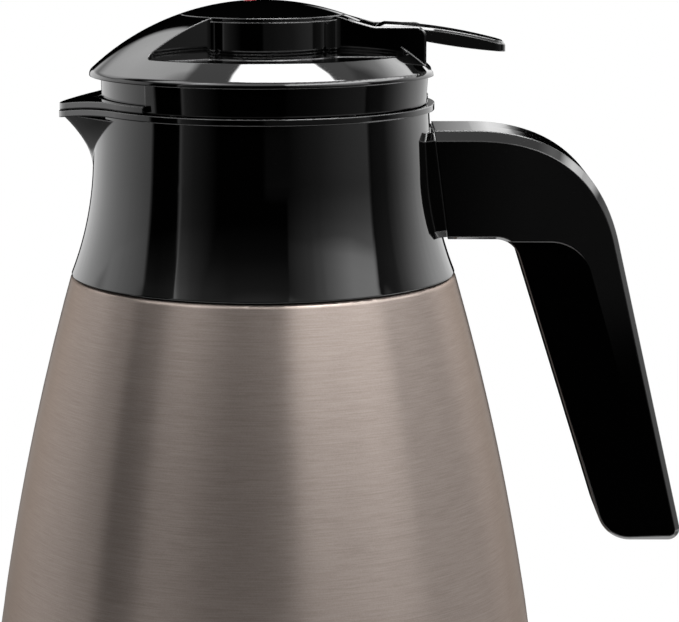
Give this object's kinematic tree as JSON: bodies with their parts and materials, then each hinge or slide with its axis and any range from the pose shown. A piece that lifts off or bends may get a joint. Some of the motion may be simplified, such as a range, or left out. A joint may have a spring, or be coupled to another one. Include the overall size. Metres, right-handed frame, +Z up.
{
  "type": "thermal carafe with press-lever lid",
  "caption": "Vacuum-insulated steel carafe with a spouted collar, an open-ended grip, and a screw-off lid whose press lever opens the spout flap and the pour valve.",
  "frame": {"origin": "centre of the base pad's underside, on the carafe's axis", "axes": "+Z up along the carafe's axis, +X towards the handle, -X towards the spout"},
  "size_m": [0.2065, 0.1676, 0.2354],
  "materials": {
    "steel_shell": "fine horizontal brushing, champagne tint",
    "steel_plain": "plain drawn stainless steel",
    "steel_pin": "bright stainless steel",
    "black_gloss": "polished injection-moulded ABS",
    "black_satin": "satin moulded polypropylene",
    "inner_plastic": "moulded polypropylene, satin",
    "seal_silicone": "translucent grey silicone",
    "pad_rubber": "moulded rubber, fine grain",
    "getter_metal": "sintered getter",
    "mark_red": "red inlay"
  },
  "bodies": {
    "carafe": {"outer_shell": "steel_shell", "base_plate": "steel_plain", "vacuum_seal_plug": "steel_plain", "getter": "getter_metal", "base_pad": "pad_rubber", "inner_flask": "steel_plain", "neck_gasket": "seal_silicone", "lock_ring": "black_satin", "collar": "black_gloss", "handle": "black_gloss", "grip_cover": "black_gloss", "handle_screws": "steel_pin"},
    "seal_ring": {"stopper_seal": "seal_silicone"},
    "lid": {"lid_base": "black_gloss", "stopper_barrel": "inner_plastic", "stem_seal": "seal_silicone", "lid_cover": "black_gloss", "lid_cap": "black_gloss", "index_mark": "mark_red", "lid_screws": "steel_pin", "pivot_pin": "steel_pin", "valve_spring": "steel_pin"},
    "rocker": {"lever": "black_gloss", "spout_flap": "black_gloss", "flap_screws": "steel_pin"},
    "valve": {"valve_button": "black_satin", "valve_stem": "steel_pin", "valve_head": "inner_plastic", "valve_seal": "seal_silicone", "valve_nut": "steel_pin"}
  },
  "joints": [
    {"name": "lid_lift", "type": "slide", "parent": "carafe", "child": "seal_ring", "axis": [0, 0, 1], "range_m": [0, 0.056]},
    {"name": "lid_turn", "type": "hinge", "parent": "seal_ring", "child": "lid", "pos_m": [0, 0, 0.206], "axis": [0, 0, 1], "range_deg": [0, 120]},
    {"name": "lever_press", "type": "hinge", "parent": "lid", "child": "rocker", "pos_m": [-0.02, 0, 0.212], "axis": [0, 1, 0], "range_deg": [0, 11.4], "stiffness_Nm_per_rad": 0.5, "springref_deg": -8.59},
    {"name": "valve_travel", "type": "slide", "parent": "lid", "child": "valve", "axis": [0, 0, -1], "range_m": [0, 0.0042], "deforming": ["valve_spring"]}
  ],
  "couplings": [
    {"joint": "valve_travel", "follows": "lever_press", "m_per_rad": 0.0201}
  ]
}
